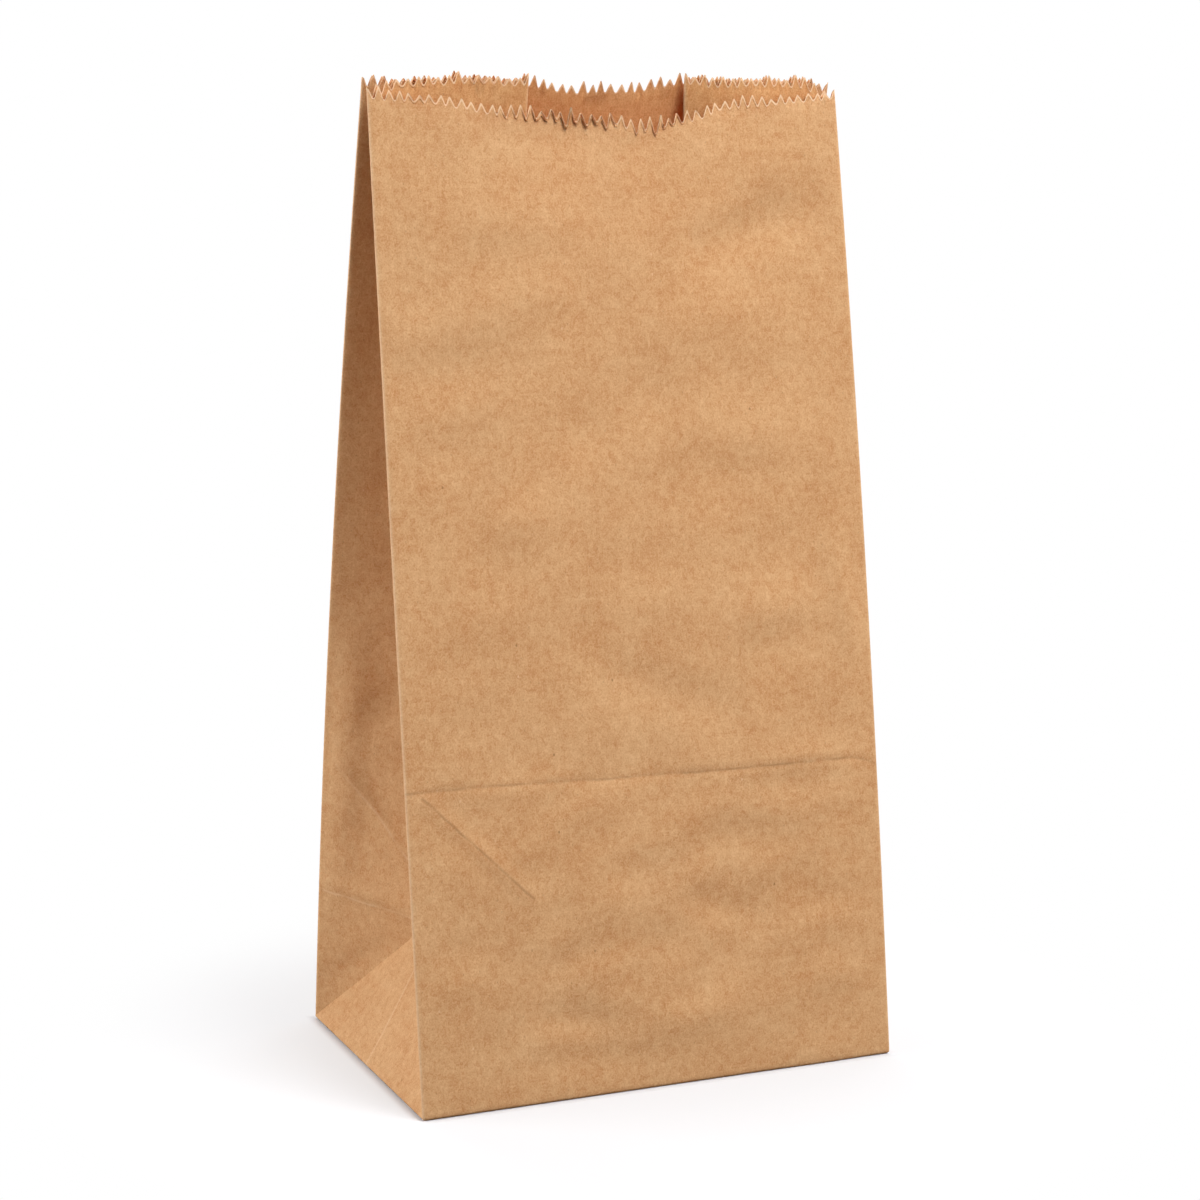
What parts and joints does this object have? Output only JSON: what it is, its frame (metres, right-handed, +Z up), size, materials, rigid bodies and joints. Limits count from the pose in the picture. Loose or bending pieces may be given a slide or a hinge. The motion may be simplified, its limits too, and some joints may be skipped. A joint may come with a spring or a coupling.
{
  "type": "paper bag",
  "caption": "Flat-bottomed brown kraft paper bag with folded-in side gussets and a saw-toothed lip, standing upright with its mouth nearly closed.",
  "frame": {"origin": "middle of the flat base, on the ground the bag stands on", "axes": "+Z up through the mouth, -Y out of the front panel with the thumb notch, +X to the right seen from the front"},
  "size_m": [0.1802, 0.12, 0.3481],
  "materials": {
    "kraft_paper": "matte, fibrous"
  },
  "bodies": {
    "root": {"paper_bag": "kraft_paper"}
  },
  "joints": []
}
